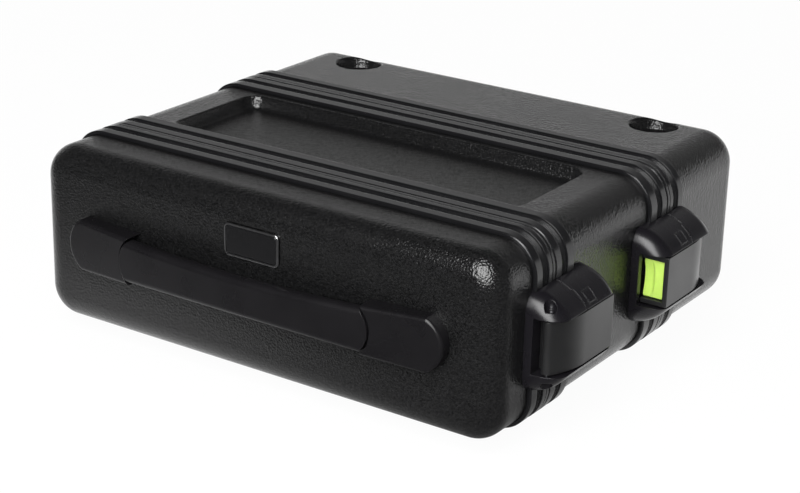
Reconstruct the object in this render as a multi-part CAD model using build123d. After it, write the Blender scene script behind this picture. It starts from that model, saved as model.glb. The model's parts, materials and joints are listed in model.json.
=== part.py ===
from build123d import *
import math
import os

# A hard transport case that lies flat: a middle body, a front lid and a rear lid that pull off,
# four trigger latches on its sides and a strap handle on its front.
# Millimetres. +X runs across the case, +Y to its rear, +Z up. The origin is on the ground,
# under the middle of the whole outline.

# ---- Shells ----
shell_width = 402.0
shell_height = 136.5
body_depth = 162.5
front_lid_depth = 68.0
rear_lid_depth = 126.5
shell_wall = 4.0
profile_radius = 25.0
front_edge_radius = 19
rear_edge_radius = 19.0

# ---- Recess in the body's top ----
recess_width = 310.0
recess_length = 103.0
recess_depth = 10.0
recess_corner_radius = 13.0
recess_draft = 18.0
recess_set_back = 1.6
recess_rim_radius = 2.0
recess_floor_radius = 3.0

# ---- Stacking sockets in the rear lid's top ----
socket_diameter = 39.0
socket_depth = 10.0
socket_draft = 12.0
socket_spacing = 282.0
socket_to_rear_face = 30.0
socket_rim_radius = 2.0
socket_floor_radius = 3.0

# ---- Valances: the ribbed rims where the lids meet the body ----
valance_length = 25.4
valance_rise = 3.0
valance_lip = 0.8
seam_gap = 0.5
body_land = 8.0
body_channel = 8.0
lid_groove_start = 3.8
lid_groove_width = 0.8
lid_land = 9.0
lid_channel = 8.4
channel_depth = 2.0
rib_count = 4
rib_height = 1.4
rib_width = 1.3
rib_crest_width = 0.3
body_web = 6.0
lid_web = 8.0
tongue_length = 3.0
tongue_thickness = 1.8
seal_thickness = 2.0
groove_clearance = 0.4
fit_gap = 0.1

# ---- Handle ----
handle_above_middle = 1.25
handle_standoff = 21.0
handle_bow = 4.5
handle_end_from_side = 36.0
cap_length = 64.0
cap_height = 40.0
cap_mouth_height = 36.0
cap_end_thickness = 9.5
cap_nose = 13.0
cap_roof = 2.5
cap_edge_radius = 3.0
grip_height = 33.0
grip_waist = 28.5
grip_thickness = 11.0
grip_edge_radius = 4.5
grip_end_bulge = 8.5
mouth_gap = 1.0
strap_width = 19.0
strap_thickness = 2.0
strap_clearance = 0.15
strap_bend_inside = 6.0
tongue_reach = 38.0
pocket_clearance = 1.5
tongue_drop = 4.5
handle_lift = 3.5
handle_lift_gap = 0.5
strap_slot_length = 6.0
strap_slot_clearance = 1.0
boss_diameter = 9.0
boss_inset = 26.0
boss_spacing = 18.0
cap_screw_radius = 2.0
cap_screw_head_radius = 4.0
cap_screw_head_height = 2.4
cap_screw_hex_radius = 1.5
cap_screw_end_gap = 1.0
backing_thickness = 2.0
backing_length = 50.0
backing_height = 24.0
backing_corner_radius = 4.0

# ---- Badge ----
badge_length = 48.0
badge_height = 24.5
badge_corner_radius = 4.5
badge_rim = 1.6
badge_rise = 1.6
badge_pocket = 1.0
badge_clearance = 0.5
badge_above_middle = 34.45
badge_dome = 0.7

# ---- Latches, measured from the seam (u), out from the shell's side (v), up (w) ----
latch_below_middle = 0.25
housing_radius = 37.3
housing_axis_depth = 4.2
hinge_end = 33.5
trigger_end = 46.5
trigger_end_radius = 12.0
hinge_end_radius = 24.0
hinge_dome_start = 19.5
housing_floor = 6.2
latch_bay_floor = 3.6
latch_bay_start = 20.0
latch_bay_end_gap = 1.0
housing_split_gap = 1.0
split_step = 2.0
split_step_at = 15.0
lever_half_height = 19.0
lever_side_gap = 1.1
lever_end = 40.5
lever_face_out = 27.0
lever_bend_radius = 60.0
knuckle_radius = 4.2
lever_edge_radius = 1.0
lever_plate = 3.4
lever_flange = 3.6
knuckle_wall = 1.0
pin_from_seam = 27.0
pin_from_wall = 15.2
pin_radius = 2.0
pin_running_gap = 0.05
pin_hole_radius = 4.2
pin_end_recess = 4.0
pin_mouth_reach = 12.0
catch_rib_from_seam = 9.0
catch_rib_thickness = 4.0
catch_rib_height = 2.4
catch_rib_side_gap = 0.8
claw_clearance = 0.4
claw_thickness = 2.4
claw_narrower = 1.0
trigger_half_height = 15.0
trigger_depth = 11.0
trigger_recess = 2.5
trigger_travel = 3.0
trigger_over_gap = 0.9
trigger_under_gap = 0.3
trigger_corner_radius = 1.5
trigger_bar_width = 6.5
trigger_edge = 0.6
trigger_scoop_radius = 38.0
trigger_scoop_depth = 2.4
trigger_scoop_corner = 4.0
spring_radius = 3.2
spring_wall = 0.8
spring_closed_length = 4.1
spring_end_gap = 0.2
web_thickness = 2.0
rivet_radius = 2.2
rivet_head_radius = 4.2
rivet_head_height = 1.4
rivet_gap = 0.1
rivet_from_seam = 15.5
rivet_half_spacing = 15.0
mark_length = 10.4
mark_width = 7.5
mark_line = 0.7
mark_depth = 0.4
mark_from_seam = 7.5
mark_out = 22.2

# ---- Feet ----
foot_height = 11.5
foot_top_radius = 16.0
foot_bottom_radius = 14.0
foot_edge = 1.2
foot_screw_radius = 2.5
foot_screw_head_radius = 5.0
foot_screw_head_height = 3.0
foot_screw_sink = 5.0
foot_screw_sink_gap = 0.5
foot_screw_driver_radius = 1.75
body_foot_from_recess_front = 22.0

# ---- Foam ----
foam_gap = 0.3
foam_floor = 17.0
foam_side = 20.0
foam_divider = 20.0
foam_ceiling = 15.0
receiver_bay_width = 220.0
foam_end_gap = 1.5
lid_pocket_depth = 95.0
lid_foam_front_gap = 6.0

# ---- Cutting solids: how far they run past what they cut, and past the whole latch ----
overshoot = 1.0
beyond = 100.0

# ---- Places worked out from the sizes ----
shell_depth = front_lid_depth + body_depth + rear_lid_depth
front_face = (handle_standoff - shell_depth) / 2
front_seam = front_face + front_lid_depth
rear_seam = front_seam + body_depth
rear_face = rear_seam + rear_lid_depth
middle = foot_height + shell_height / 2
shell_bottom = foot_height
shell_top = foot_height + shell_height
shell_side = shell_width / 2
handle_height = middle + handle_above_middle
latch_height = middle - latch_below_middle
inner_half_width = shell_side - shell_wall
inner_half_height = shell_height / 2 - shell_wall
recess_front = front_seam + valance_length + recess_set_back
recess_middle = recess_front + recess_length / 2
socket_y = rear_face - socket_to_rear_face
socket_x = socket_spacing / 2
body_foot_y = recess_front + body_foot_from_recess_front
seam = {"front": front_seam, "rear": rear_seam}


# ---- Shell solids ----

def section(offset):
    """The case's rounded outline, seen from the front, grown by an offset."""
    radius = profile_radius + offset
    return RectangleRounded(shell_width + 2 * offset, shell_height + 2 * offset, radius)


def prism(offset, start, stop):
    """The case's outline drawn out along Y from start to stop."""
    outline = Plane.XZ * section(offset)
    return Pos(0, stop, middle) * extrude(outline, stop - start)


def closed_end(offset, start, stop, end_radius, closed):
    """A prism with one rounded end, at its start or its stop."""
    solid = prism(offset, start, stop)
    faces = solid.faces().sort_by(Axis.Y)
    end_face = faces[0] if closed == "start" else faces[-1]
    return fillet(end_face.edges(), end_radius)


def drop(outline, depth, draft, floor_radius, x, y):
    """A tapered sink below the shell's top, with a little spare height over it."""
    sink = extrude(outline, -depth, taper=draft)
    floor = sink.faces().sort_by(Axis.Z)[0]
    sink = fillet(floor.edges(), floor_radius)
    lid = extrude(outline, overshoot)
    return Pos(x, y, shell_top) * (sink + lid)


def recess(offset):
    outline = RectangleRounded(
        recess_width + 2 * offset,
        recess_length + 2 * offset,
        recess_corner_radius + offset,
    )
    depth = recess_depth + offset
    return drop(outline, depth, recess_draft, recess_floor_radius, 0, recess_middle)


def socket(side, offset):
    outline = Circle(socket_diameter / 2 + offset)
    depth = socket_depth + offset
    x = side * socket_x
    return drop(outline, depth, socket_draft, socket_floor_radius, x, socket_y)


def round_rim(shell, x, y, reach, radius):
    """Rounds the edges on the shell's top that lie within a reach of a place."""
    def on_rim(edge):
        centre = edge.center(CenterOf.BOUNDING_BOX)
        near = abs(centre.X - x) < reach and abs(centre.Y - y) < reach
        return near and abs(centre.Z - shell_top) < radius
    return fillet(shell.edges().filter_by(on_rim), radius)


def side_bore(y, z, radius):
    """A round hole straight through both sides of the case."""
    return Pos(0, y, z) * Rot(0, 90, 0) * Cylinder(radius, shell_width + beyond)


def rivet_points(end, half):
    """Where the rivets of a latch half pass through the shell's side, as (y, z)."""
    toward_body = 1 if end == "front" else -1
    direction = toward_body if half == "keeper" else -toward_body
    y = seam[end] + direction * rivet_from_seam
    return [(y, latch_height + s * rivet_half_spacing) for s in (-1, 1)]


def drill_rivets(solid, ends, half):
    for end in ends:
        for y, z in rivet_points(end, half):
            solid -= side_bore(y, z, rivet_radius + rivet_gap)
    return solid


def make_body_shell():
    start = front_seam + body_web
    stop = rear_seam - body_web
    outer = prism(0, start, stop) - recess(0)
    outer = round_rim(outer, 0, recess_middle, recess_width, recess_rim_radius)
    cavity = prism(-shell_wall, start - overshoot, stop + overshoot) - recess(shell_wall)
    shell = drill_rivets(outer - cavity, ("front", "rear"), "keeper")
    for side in (-1, 1):
        shell -= foot_screw_bore(side, body_foot_y)
    return shell


def make_front_lid_shell():
    stop = front_seam - lid_web
    outer = closed_end(0, front_face, stop, front_edge_radius, "start")
    cavity = closed_end(
        -shell_wall, front_face + shell_wall, stop + overshoot,
        front_edge_radius - shell_wall, "start",
    )
    shell = drill_rivets(outer - cavity, ("front",), "base")
    for x in cap_screw_places():
        shell -= front_bore(x, cap_screw_radius + fit_gap)
    return shell - badge_pocket_cut()


def make_rear_lid_shell():
    start = rear_seam + lid_web
    outer = closed_end(0, start, rear_face, rear_edge_radius, "stop")
    cavity = closed_end(
        -shell_wall, start - overshoot, rear_face - shell_wall,
        rear_edge_radius - shell_wall, "stop",
    )
    for side in (-1, 1):
        outer -= socket(side, 0)
        outer = round_rim(outer, side * socket_x, socket_y, socket_diameter / 2, socket_rim_radius)
        cavity -= socket(side, shell_wall)
    shell = drill_rivets(outer - cavity, ("rear",), "base")
    for side in (-1, 1):
        shell -= foot_screw_bore(side, socket_y)
    return shell


# ---- Valances and seals ----

def ribbed_channel(start, length):
    """Points (s, t) of a sunk channel with fine ribs, from its near lip to its far lip."""
    floor = valance_rise - channel_depth
    crest = floor + rib_height
    pitch = length / (rib_count + 1)
    points = [(start, valance_rise), (start + valance_lip / 2, floor)]
    for i in range(rib_count):
        centre = start + pitch * (i + 1)
        points.append((centre - rib_width / 2, floor))
        points.append((centre - rib_crest_width / 2, crest))
        points.append((centre + rib_crest_width / 2, crest))
        points.append((centre + rib_width / 2, floor))
    points.append((start + length - valance_lip / 2, floor))
    points.append((start + length, valance_rise))
    return points


def far_side(web):
    """Points (s, t) from the outer lip of a valance back to the inside of its web."""
    return [
        (valance_length - valance_lip, valance_rise),
        (valance_length, valance_rise - valance_lip),
        (valance_length, fit_gap),
        (web, fit_gap),
        (web, -shell_wall),
    ]


def tongue_bounds():
    outer = -(shell_wall - tongue_thickness) / 2
    return outer - tongue_thickness, outer


def body_valance_profile():
    low, high = tongue_bounds()
    edge = seam_gap / 2
    points = [
        (edge, -shell_wall),
        (edge, low),
        (-tongue_length, low),
        (-tongue_length, high),
        (edge, high),
        (edge, valance_rise - valance_lip),
        (edge + valance_lip, valance_rise),
    ]
    return points + ribbed_channel(body_land, body_channel) + far_side(body_web)


def lid_groove_depth():
    return tongue_length + foam_gap + seal_thickness


def lid_valance_profile():
    low, high = tongue_bounds()
    edge = seam_gap / 2
    depth = lid_groove_depth()
    points = [
        (edge, -shell_wall),
        (edge, low - groove_clearance),
        (depth, low - groove_clearance),
        (depth, high + groove_clearance),
        (edge, high + groove_clearance),
        (edge, valance_rise - valance_lip),
        (edge + valance_lip, valance_rise),
        (lid_groove_start, valance_rise),
        (lid_groove_start, valance_rise - lid_groove_width),
        (lid_groove_start + lid_groove_width, valance_rise - lid_groove_width),
        (lid_groove_start + lid_groove_width, valance_rise),
    ]
    return points + ribbed_channel(lid_land, lid_channel) + far_side(lid_web)


def ring(points):
    """A rim of the given section round the case's outline. Its seam lies at Y = 0."""
    path = (Plane.XZ * section(0)).face().outer_wire()
    start = path @ 0
    outward = path % 0
    plane = Plane(origin=start, x_dir=(0, 1, 0), z_dir=outward)
    middle_to_start = Vector(start.X, 0, start.Z)
    if plane.y_dir.dot(middle_to_start) < 0:
        plane = Plane(origin=start, x_dir=(0, 1, 0), z_dir=-outward)
    face = plane * make_face(Polyline(*points, close=True))
    return sweep(face, path=path)


def make_valance(points, end, half):
    rim = ring(points)
    toward_rear = (end == "front") == (half == "keeper")
    if not toward_rear:
        rim = mirror(rim, about=Plane.XZ)
    rim = Pos(0, seam[end], middle) * rim
    return drill_rivets(rim, (end,), half)


def make_seal(end):
    low, high = tongue_bounds()
    side = groove_clearance - fit_gap
    away = -1 if end == "front" else 1
    near = seam[end] + away * (tongue_length + foam_gap)
    far = seam[end] + away * (lid_groove_depth() - fit_gap)
    start, stop = sorted((near, far))
    outer = prism(high + side, start, stop)
    inner = prism(low - side, start - overshoot, stop + overshoot)
    return outer - inner


# ---- Handle ----

cap_end = shell_side - handle_end_from_side
grip_end = cap_end - cap_length
mouth_standoff = handle_standoff - handle_bow


def standoff_arc(out_middle, out_end, half_length):
    """An arc in plan that bows away from the front face, from left to right."""
    return ThreePointArc(
        (-half_length, -out_end), (0, -out_middle), (half_length, -out_end)
    )


def bowed_bar(out_middle, out_end, half_length, thickness):
    """A bowed bar in plan, as a face: outer arc, ends and inner arc."""
    outer = standoff_arc(out_middle, out_end, half_length)
    inner = standoff_arc(out_middle - thickness, out_end - thickness, half_length)
    sides = [
        Line(outer @ 0, inner @ 0),
        Line(outer @ 1, inner @ 1),
    ]
    return make_face([outer, inner] + sides)


def end_arc(x, bulge, half_height):
    """Points of an end arc, bottom to top, that bulges outward at mid height."""
    sign = 1 if x > 0 else -1
    return ThreePointArc((x, -half_height), (x + sign * bulge, 0), (x, half_height))


def grip_ends():
    """The grip's bounds seen from the front: its ends bulge into the caps."""
    half = grip_height / 2
    return make_face([
        end_arc(-grip_end, grip_end_bulge, half),
        end_arc(grip_end, grip_end_bulge, half),
        Line((-grip_end, half), (grip_end, half)),
        Line((-grip_end, -half), (grip_end, -half)),
    ])


def grip_section(x, height, standoff):
    """The grip's rounded cross-section at X, with its outer face at a standoff."""
    outline = RectangleRounded(grip_thickness, height, grip_edge_radius)
    centre = (x, grip_thickness / 2 - standoff, 0)
    place = Plane(origin=centre, x_dir=(0, 1, 0), z_dir=(1, 0, 0))
    return (place * outline).face()


def stand_up(outline, height):
    """A plan outline drawn out up and down by half a height."""
    return Pos(0, 0, -height / 2) * extrude(outline, height)


def from_front(outline, depth):
    """A front-view outline drawn out from Y = -depth to Y = depth."""
    return Pos(0, depth, 0) * extrude(Plane.XZ * outline, 2 * depth)


def on_front_face(piece):
    return Pos(0, front_face, handle_height) * piece


def tongue_bend():
    """X where the strap has left the grip and starts to dip."""
    return grip_end + grip_end_bulge + mouth_gap


def strap_standoff():
    """The strap's outer face at the mouth, low enough to lift inside the cap."""
    return cap_standoff(tongue_bend()) - cap_roof - handle_lift - handle_lift_gap


def strap_tongue(clearance):
    """One bare end of the strap, which dips towards the case inside its cap."""
    out = strap_standoff()
    start = grip_end - strap_bend_inside
    stop = grip_end + tongue_reach
    bend = tongue_bend()
    grow = clearance
    points = [
        (start, -out - grow),
        (bend, -out - grow),
        (stop, -out + tongue_drop - grow),
        (stop, -out + tongue_drop + strap_thickness + grow),
        (bend, -out + strap_thickness + grow),
        (start, -out + strap_thickness + grow),
    ]
    tongue = stand_up(make_face(Polyline(*points, close=True)), strap_width + 2 * grow)
    return tongue


def strap_shape(clearance):
    out_end = strap_standoff() + clearance
    out_middle = out_end + handle_bow
    thickness = strap_thickness + 2 * clearance
    bar = bowed_bar(out_middle, out_end, grip_end - strap_bend_inside, thickness)
    bow = stand_up(bar, strap_width + 2 * clearance)
    right = strap_tongue(clearance)
    return bow + right + mirror(right, about=Plane.YZ)


def boss_places():
    """X of the two bosses in the right cap."""
    first = grip_end + boss_inset
    return (first, first + boss_spacing)


def cap_screw_places():
    return [side * x for side in (-1, 1) for x in boss_places()]


def make_handle_strap():
    strap = strap_shape(0)
    slot = SlotCenterToCenter(strap_slot_length, boss_diameter + 2 * strap_slot_clearance)
    for side in (-1, 1):
        strap -= Pos(side * boss_places()[0], 0, 0) * from_front(slot, handle_standoff)
    return on_front_face(strap)


def make_handle_grip():
    half_length = grip_end + grip_end_bulge + overshoot
    bar = loft([
        grip_section(-half_length, grip_height, mouth_standoff),
        grip_section(0, grip_waist, handle_standoff),
        grip_section(half_length, grip_height, mouth_standoff),
    ])
    grip = bar & from_front(grip_ends(), 2 * handle_standoff)
    return on_front_face(grip - strap_shape(strap_clearance))


def cap_outline():
    """The right cap seen from the front, with a hollow mouth and a rounded nose."""
    shoulder = cap_end - cap_nose
    mouth = ThreePointArc(
        (grip_end + mouth_gap, -cap_mouth_height / 2),
        (grip_end + grip_end_bulge + mouth_gap, 0),
        (grip_end + mouth_gap, cap_mouth_height / 2),
    )
    nose = ThreePointArc((shoulder, -cap_height / 2), (cap_end, 0), (shoulder, cap_height / 2))
    top = Line(mouth @ 1, nose @ 1)
    bottom = Line(mouth @ 0, nose @ 0)
    return make_face([mouth, nose, top, bottom])


def cap_standoff(x):
    """How far the right cap's sloping outer face stands off the case at X."""
    slope = (mouth_standoff - cap_end_thickness) / cap_length
    return mouth_standoff - slope * (x - grip_end)


def cap_ramp(roof, height):
    """The cap's side view, lowered by a roof thickness, drawn out to a height."""
    near = grip_end
    far = cap_end + overshoot
    points = [
        (near, 0),
        (near, roof - cap_standoff(near)),
        (far, roof - cap_standoff(far)),
        (far, 0),
    ]
    return stand_up(make_face(Polyline(*points, close=True)), height)


def make_right_cap():
    cap = cap_ramp(0, cap_height + 2 * overshoot) & from_front(cap_outline(), 2 * handle_standoff)
    outer_face = cap.faces().sort_by(Axis.Y)[0]
    mouth_corner = grip_end + mouth_gap + grip_end_bulge
    rim = outer_face.edges().filter_by(lambda edge: edge.center().X > mouth_corner)
    cap = fillet(rim, cap_edge_radius)
    pocket_height = strap_width + 2 * pocket_clearance
    pocket_end = grip_end + tongue_reach + pocket_clearance
    pocket = cap_ramp(cap_roof, pocket_height)
    pocket &= Pos(pocket_end / 2, 0, 0) * Box(pocket_end, 4 * handle_standoff, pocket_height)
    cap -= pocket
    for x in boss_places():
        boss = Pos(x, 0, 0) * from_front(Circle(boss_diameter / 2), handle_standoff)
        cap += boss & cap_ramp(cap_roof / 2, cap_height)
        bore = Pos(x, 0, 0) * from_front(Circle(cap_screw_radius + fit_gap), boss_bore_depth(x))
        cap -= bore
    return on_front_face(cap)


def boss_bore_depth(x):
    """How far the screw's hole runs into a boss, short of the cap's outer face."""
    return cap_standoff(x) - cap_roof


def front_bore(x, radius):
    bore = Pos(x, 0, 0) * from_front(Circle(radius), 2 * shell_wall)
    return on_front_face(bore)


def make_backing_plates():
    plates = []
    for side in (-1, 1):
        centre = side * (boss_places()[0] + boss_spacing / 2)
        outline = RectangleRounded(backing_length, backing_height, backing_corner_radius)
        plate = Pos(centre, shell_wall + backing_thickness, 0) * extrude(
            Plane.XZ * outline, backing_thickness
        )
        for x in boss_places():
            plate -= Pos(side * x, 0, 0) * from_front(Circle(cap_screw_radius + fit_gap), beyond)
        plates.append(on_front_face(plate))
    return plates


def make_handle_screws():
    screws = []
    seat = shell_wall + backing_thickness
    for x in boss_places():
        reach = boss_bore_depth(x) - cap_screw_end_gap
        shank = Pos(x, seat, 0) * extrude(Plane.XZ * Circle(cap_screw_radius), seat + reach)
        head = Pos(x, seat + cap_screw_head_height, 0) * extrude(
            Plane.XZ * Circle(cap_screw_head_radius), cap_screw_head_height
        )
        driver = Pos(x, seat + cap_screw_head_height, 0) * extrude(
            Plane.XZ * RegularPolygon(cap_screw_hex_radius, 6), cap_screw_head_height / 2
        )
        screw = shank + head - driver
        screws.append(on_front_face(screw))
        screws.append(on_front_face(mirror(screw, about=Plane.YZ)))
    return screws


# ---- Badge ----

badge_height_up = middle + badge_above_middle


def badge_slab(shrink, back, front, corner):
    """A rounded slab on the front face, from a depth inside it to a height outside."""
    outline = RectangleRounded(badge_length - 2 * shrink, badge_height - 2 * shrink, corner)
    slab = Pos(0, back, 0) * extrude(Plane.XZ * outline, back + front)
    return Pos(0, front_face, badge_height_up) * slab


def badge_pocket_cut():
    corner = badge_corner_radius + badge_clearance
    return badge_slab(-badge_clearance, badge_pocket, overshoot, corner)


def make_badge_bezel():
    outer = badge_slab(0, badge_pocket, badge_rise, badge_corner_radius)
    rim = outer.faces().sort_by(Axis.Y)[0].edges()
    outer = fillet(rim, badge_rim / 2)
    back = badge_pocket + overshoot
    front = badge_rise + overshoot
    return outer - badge_slab(badge_rim, back, front, badge_corner_radius - badge_rim)


def make_badge_face():
    shrink = badge_rim + fit_gap
    slab = badge_slab(shrink, badge_pocket, badge_rise, badge_corner_radius - shrink)
    crown = slab.faces().sort_by(Axis.Y)[0].edges()
    return fillet(crown, badge_dome)


# ---- Latches: drawn for the front right one, with the seam at Y = 0 and the wall at X = 0 ----

lever_underside = latch_bay_floor + catch_rib_height + claw_clearance
catch_rib_half_width = rivet_half_spacing - rivet_head_radius - catch_rib_side_gap
claw_half_width = catch_rib_half_width - claw_narrower
trigger_face = lever_end - trigger_recess
trigger_back = trigger_face - trigger_depth
trigger_top = lever_face_out - lever_plate - trigger_over_gap
trigger_bottom = lever_underside + trigger_under_gap
spring_length = trigger_travel + spring_closed_length
spring_seat = trigger_back - spring_length - 2 * spring_end_gap


def place_latch(piece, side, end):
    if end == "rear":
        piece = mirror(piece, about=Plane.XZ)
    piece = Pos(shell_side, seam[end], latch_height) * piece
    if side == "left":
        piece = mirror(piece, about=Plane.YZ)
    return piece


dome_drop = housing_radius - hinge_end_radius
dome_run = hinge_end - hinge_dome_start
dome_arc_radius = (dome_drop ** 2 + dome_run ** 2) / (2 * dome_drop)


def dome_radius(u):
    """The housing's radius at a place along the wall, on its domed hinge end."""
    run = max(0.0, -u - hinge_dome_start)
    return housing_radius - dome_arc_radius + math.sqrt(dome_arc_radius ** 2 - run ** 2)


def housing_profile(shrink):
    """Half section of the domed housing, revolved about an axis along Y."""
    radius = housing_radius - shrink
    dome_start = (radius, -hinge_dome_start)
    dome_end = (hinge_end_radius - shrink, -hinge_end)
    half_turn = math.asin((hinge_end - hinge_dome_start) / dome_arc_radius) / 2
    dome_middle = (
        radius - dome_arc_radius * (1 - math.cos(half_turn)),
        -hinge_dome_start - dome_arc_radius * math.sin(half_turn),
    )
    dome = ThreePointArc(dome_start, dome_middle, dome_end)
    back_start = trigger_end - trigger_end_radius
    side = Line(dome_start, (radius, back_start))
    diagonal = trigger_end_radius * math.sqrt(0.5)
    back = ThreePointArc(
        (radius, back_start),
        (radius - trigger_end_radius + diagonal, back_start + diagonal),
        (radius - trigger_end_radius, trigger_end),
    )
    base = [
        Line(back @ 1, (0, trigger_end)),
        Line((0, trigger_end), (0, -hinge_end)),
        Line((0, -hinge_end), dome_end),
    ]
    return make_face([dome, side, back] + base)


def housing_solid(shrink):
    solid = revolve(housing_profile(shrink), Axis.Y, 360)
    solid = Pos(-housing_axis_depth, 0, 0) * solid
    return solid & along_wall(0, beyond, -beyond, beyond, beyond)


def along_wall(low_v, high_v, low_u, high_u, half_height):
    """A plain block: from low_v to high_v out of the wall, low_u to high_u along it."""
    block = Box(high_v - low_v, high_u - low_u, 2 * half_height)
    return Pos((low_v + high_v) / 2, (low_u + high_u) / 2, 0) * block


def lever_slot():
    """The slot the lever lies in, with a deeper bay between its two ends."""
    half = lever_half_height + lever_side_gap
    bay_stop = lever_end + latch_bay_end_gap
    slot = along_wall(housing_floor, beyond, -beyond, beyond, half)
    return slot + along_wall(latch_bay_floor, beyond, -latch_bay_start, bay_stop, half)


def band_relief():
    reach = valance_length + fit_gap
    return along_wall(-overshoot, valance_rise, -reach, reach, beyond)


def pin_cylinder(radius, half_height):
    return Pos(pin_from_wall, -pin_from_seam, 0) * Cylinder(radius, 2 * half_height)


def rivet_bores(direction):
    bores = []
    for s in (-1, 1):
        place = Pos(0, direction * rivet_from_seam, s * rivet_half_spacing)
        bores.append(place * Rot(0, 90, 0) * Cylinder(rivet_radius + rivet_gap, beyond))
    return bores


def make_housing():
    housing = housing_solid(0) - lever_slot() - band_relief()
    housing -= pin_cylinder(pin_radius + pin_running_gap, housing_radius)
    for s in (-1, 1):
        mouth = pin_cylinder(pin_hole_radius, pin_mouth_reach / 2)
        housing -= Pos(0, 0, s * (pin_half_length() + pin_mouth_reach / 2)) * mouth
    return housing


def pin_half_length():
    """The pin stops short of the shoulder's skin, so that its end is sunk in its hole."""
    out = pin_from_wall + housing_axis_depth
    return math.sqrt(dome_radius(-pin_from_seam) ** 2 - out ** 2) - pin_end_recess


def body_side_block():
    """The space of the body-side half: beyond the split line, which has one small step."""
    gap = housing_split_gap / 2
    inner = along_wall(-overshoot, split_step_at, gap, beyond, beyond)
    outer = along_wall(split_step_at - overshoot, beyond, gap + split_step, beyond, beyond)
    return inner + outer


def lid_side_block():
    gap = housing_split_gap / 2
    inner = along_wall(-overshoot, beyond, -beyond, -gap, beyond)
    outer = along_wall(split_step_at + gap, beyond, -beyond, split_step - gap, beyond)
    return inner + outer


def mark_cut():
    """A thin rectangular line let into both shoulders of the body-side half."""
    outer = Rectangle(mark_width, mark_length)
    inner = Rectangle(mark_width - 2 * mark_line, mark_length - 2 * mark_line)
    frame = extrude(outer - inner, housing_radius, both=True)
    frame = Pos(mark_out, mark_from_seam + mark_length / 2, 0) * frame
    return frame - housing_solid(mark_depth)


def make_latch_base():
    base = make_housing() & lid_side_block()
    for bore in rivet_bores(-1):
        base -= bore
    return base


def make_keeper():
    keeper = make_housing() & body_side_block()
    rib = along_wall(
        latch_bay_floor - overshoot, latch_bay_floor + catch_rib_height,
        catch_rib_from_seam, catch_rib_from_seam + catch_rib_thickness,
        catch_rib_half_width,
    )
    top = rib.edges().filter_by(Axis.Z).group_by(Axis.X)[-1]
    keeper += fillet(top, catch_rib_height / 4)
    for bore in rivet_bores(1):
        keeper -= bore
    return keeper - mark_cut()


bend_to_pin = lever_bend_radius - knuckle_radius
bend_turn = math.acos((lever_bend_radius - lever_face_out + pin_from_wall) / bend_to_pin)
bend_start = bend_to_pin * math.sin(bend_turn) - pin_from_seam


def lever_face(inset):
    """The lever's outer line: flat from its free end, then bent down round its pin."""
    radius = lever_bend_radius - inset
    out = lever_face_out - inset

    def on_bend(turn):
        return (out - radius * (1 - math.cos(turn)), bend_start - radius * math.sin(turn))

    flat = Line((out, lever_end), (out, bend_start))
    bend = ThreePointArc((out, bend_start), on_bend(bend_turn / 2), on_bend(bend_turn))
    return flat, bend


def lever_side_outline():
    """The lever in plan: rolled round its pin, flat outside, open below."""
    flat, bend = lever_face(0)
    low = lever_underside
    pin = (pin_from_wall, -pin_from_seam)
    back = [
        Line(flat @ 0, (low, lever_end)),
        Line((low, lever_end), (low, knuckle_radius - pin_from_seam)),
        Line((low, knuckle_radius - pin_from_seam), pin),
        Line(pin, bend @ 1),
    ]
    return make_face([flat, bend] + back) + Pos(*pin) * Circle(knuckle_radius)


def lever_hollow():
    """The space inside the lever, under its face and between its two flanges."""
    flat, bend = lever_face(lever_plate)
    open_end = (flat @ 0) + Vector(0, overshoot)
    near_pin = bend @ 1
    outline = make_face([
        flat,
        bend,
        Line(flat @ 0, open_end),
        Line(open_end, (0, open_end.Y)),
        Line((0, open_end.Y), (0, near_pin.Y)),
        Line((0, near_pin.Y), near_pin),
    ])
    half = lever_half_height - lever_flange
    start = knuckle_radius - pin_from_seam + knuckle_wall
    return stand_up(outline, 2 * half) & along_wall(0, beyond, start, beyond, half)


def make_lever():
    half = lever_half_height
    lever = stand_up(lever_side_outline(), 2 * half)
    hollow = lever_hollow()
    web_start = spring_seat - web_thickness
    web = along_wall(lever_underside, beyond, web_start, spring_seat, half - overshoot)
    web &= stand_up(lever_side_outline(), 2 * half)
    lever = lever - hollow + web
    lever -= pin_cylinder(pin_radius + pin_running_gap, half + overshoot)
    outer_edges = lever.edges().filter_by(Axis.Z).sort_by(Axis.Y)[-2:]
    outer_edge = outer_edges.sort_by(Axis.X)[-1]
    return fillet(outer_edge, lever_edge_radius)


def make_claw():
    """A steel hook under the lever that reaches over the keeper's rib."""
    half = claw_half_width
    low = lever_underside
    toe_start = catch_rib_from_seam
    leg_start = toe_start + catch_rib_thickness + claw_clearance
    leg_end = leg_start + claw_thickness
    seat_low = lever_face_out - lever_plate - claw_thickness
    leg = along_wall(low, lever_face_out, leg_start, leg_end, half)
    toe = along_wall(low, low + claw_thickness, toe_start, leg_end, half)
    seat = along_wall(seat_low, lever_face_out, toe_start - claw_thickness, leg_end, half)
    return (leg + toe + seat) & lever_hollow()


def make_trigger():
    """The trigger's face is scooped, with a raised bar along its outer side."""
    block = along_wall(trigger_bottom, trigger_top, trigger_back, trigger_face, trigger_half_height)
    block = fillet(block.edges().filter_by(Axis.X).group_by(Axis.Y)[-1], trigger_corner_radius)
    scoop_top = trigger_top - trigger_bar_width
    scoop_bottom = trigger_bottom - overshoot
    scoop_axis = trigger_face + trigger_scoop_radius - trigger_scoop_depth
    scoop = Rot(0, 90, 0) * Cylinder(trigger_scoop_radius, scoop_top - scoop_bottom)
    scoop_end = scoop.faces().sort_by(Axis.X)[-1]
    scoop = fillet(scoop_end.edges(), trigger_scoop_corner)
    block -= Pos((scoop_top + scoop_bottom) / 2, scoop_axis, 0) * scoop
    crest = block.edges().filter_by(Axis.Z).group_by(Axis.Y)[-1]
    return chamfer(crest, trigger_edge)


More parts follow.
